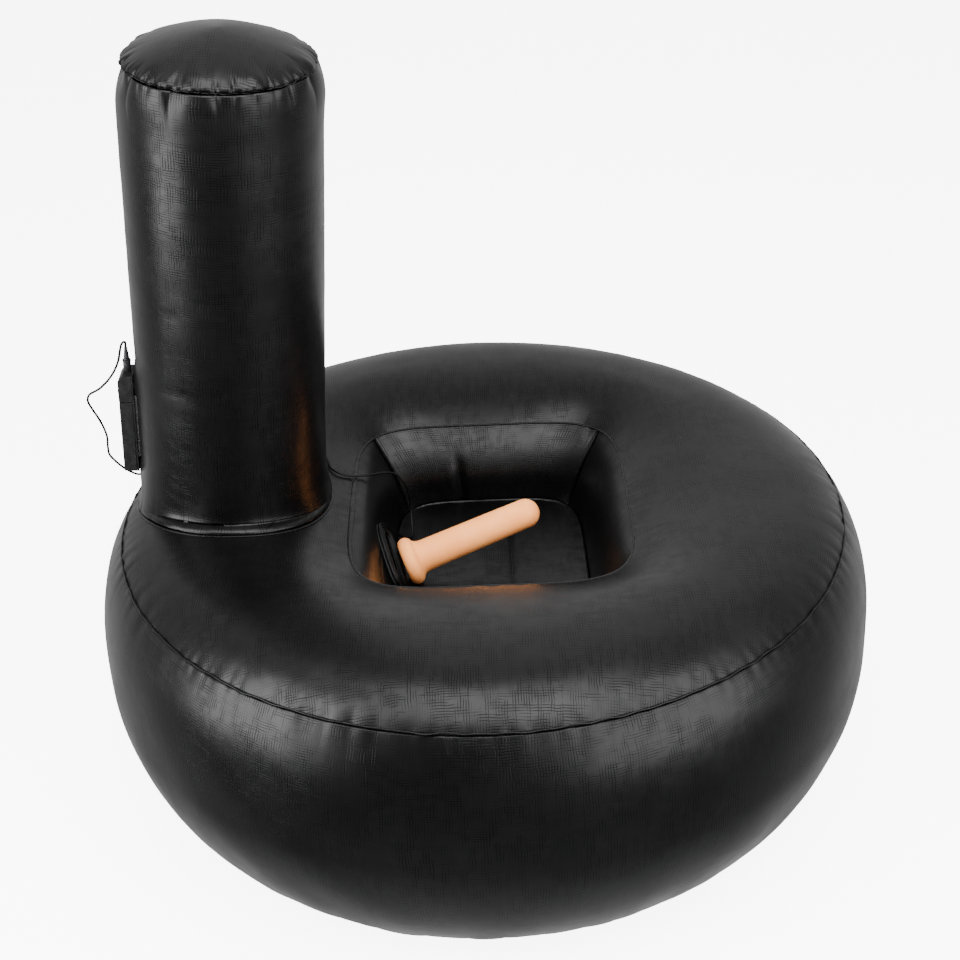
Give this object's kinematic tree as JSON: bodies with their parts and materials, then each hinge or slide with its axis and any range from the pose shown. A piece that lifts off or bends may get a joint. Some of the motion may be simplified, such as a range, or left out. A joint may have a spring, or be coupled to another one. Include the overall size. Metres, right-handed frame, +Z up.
{
  "type": "inflatable vibrating seat",
  "caption": "Round inflatable ring seat with a sunken well, a leaning column, a battery control box and a lead to a plain vibrating massager.",
  "frame": {"origin": "on the floor under the middle of the ring", "axes": "+Z up; +Y towards the column, the seat's rear; the front is -Y; the left of someone facing the front is +X"},
  "size_m": [0.9, 0.9, 0.8926],
  "materials": {
    "pvc_film": "semi-gloss black PVC film with a fine crossed linen emboss",
    "patch_fabric": "black hook and loop tape",
    "case_plastic": "satin black",
    "button_plastic": "matt dark grey",
    "clear_plastic": "clear, milky",
    "cell_steel": "plain foil sleeve",
    "contact_metal": "plated",
    "board": "green solder mask",
    "screw_steel": "zinc plated",
    "plated_pin": "nickel plated",
    "plug_rubber": "satin black moulded",
    "lead_sheath": "satin black",
    "silicone": "soft satin, warm peach",
    "capsule_plastic": "white",
    "motor_steel": "plain"
  },
  "bodies": {
    "seat": {"outer_wall": "pvc_film", "top_panel": "pvc_film", "bottom_panel": "pvc_film", "well_wall_left": "pvc_film", "well_wall_rear": "pvc_film", "well_wall_right": "pvc_film", "well_wall_front": "pvc_film", "well_floor": "pvc_film", "floor_tie_web": "pvc_film", "column_base_panel": "pvc_film", "column_tube": "pvc_film", "column_cap": "pvc_film", "seat_valve_flange": "pvc_film", "column_valve_flange": "pvc_film", "loop_patch": "patch_fabric", "hook_patch": "patch_fabric", "box_back": "case_plastic", "box_front": "case_plastic", "cell_1": "cell_steel", "cell_2": "cell_steel", "cell_3": "cell_steel", "cell_4": "cell_steel", "contact_spring_strip": "contact_metal", "contact_strip": "contact_metal", "circuit_board": "board", "power_switch": "button_plastic", "mode_switch": "button_plastic", "light_guide": "clear_plastic", "case_screw_1": "screw_steel", "case_screw_2": "screw_steel", "jack_socket": "button_plastic", "jack_pin": "plated_pin", "jack_plug": "plug_rubber", "plug_strain_relief": "plug_rubber", "lead_box_loop": "lead_sheath", "lead_run": "lead_sheath", "lead_hank": "lead_sheath", "lead_tail": "lead_sheath"},
    "battery_cover": {"battery_cover": "case_plastic"},
    "power_button": {"power_button": "button_plastic"},
    "mode_button": {"mode_button": "button_plastic"},
    "seat_valve_neck": {"seat_valve_neck": "pvc_film"},
    "seat_valve_stopper": {"seat_valve_stopper": "pvc_film"},
    "column_valve_neck": {"column_valve_neck": "pvc_film"},
    "column_valve_stopper": {"column_valve_stopper": "pvc_film"},
    "massager": {"massager_sleeve": "silicone", "foot_cap": "silicone", "capsule_rear": "capsule_plastic", "capsule_front": "capsule_plastic", "motor_can": "motor_steel", "lead_gland": "plug_rubber"},
    "motor_rotor": {"motor_shaft": "motor_steel", "eccentric_weight": "motor_steel"}
  },
  "joints": [
    {"name": "battery_cover_slide", "type": "slide", "parent": "seat", "child": "battery_cover", "axis": [0.0458, 0.082, -0.9956], "range_m": [0, 0.03]},
    {"name": "power_button_press", "type": "slide", "parent": "seat", "child": "power_button", "axis": [0.0019, -0.9966, -0.082], "range_m": [0, 0.001], "stiffness_N_per_m": 400},
    {"name": "mode_button_press", "type": "slide", "parent": "seat", "child": "mode_button", "axis": [0.0019, -0.9966, -0.082], "range_m": [0, 0.001], "stiffness_N_per_m": 400},
    {"name": "seat_valve_pop_out", "type": "slide", "parent": "seat", "child": "seat_valve_neck", "axis": [0.9542, 0.0835, -0.2871], "range_m": [0, 0.012]},
    {"name": "seat_valve_stopper_open", "type": "hinge", "parent": "seat_valve_neck", "child": "seat_valve_stopper", "pos_m": [0.44017, 0.02677, 0.10863], "axis": [-0.286, -0.025, -0.9579], "range_deg": [0, 150]},
    {"name": "column_valve_pop_out", "type": "slide", "parent": "seat", "child": "column_valve_neck", "axis": [0.9925, 0.1097, 0.0547], "range_m": [0, 0.012]},
    {"name": "column_valve_stopper_open", "type": "hinge", "parent": "column_valve_neck", "child": "column_valve_stopper", "pos_m": [0.12424, 0.27431, 0.52611], "axis": [0.0543, 0.006, -0.9985], "range_deg": [0, 150]},
    {"name": "massager_tilt", "type": "hinge", "parent": "seat", "child": "massager", "pos_m": [-0.0078, 0.0806, 0.2343], "axis": [-0.9745, -0.2244, 0], "range_deg": [-19, 2]},
    {"name": "motor_spin", "type": "hinge", "parent": "massager", "child": "motor_rotor", "pos_m": [-0.00342, 0.06156, 0.26075], "axis": [0.2157, -0.9364, 0.277], "continuous": true}
  ]
}
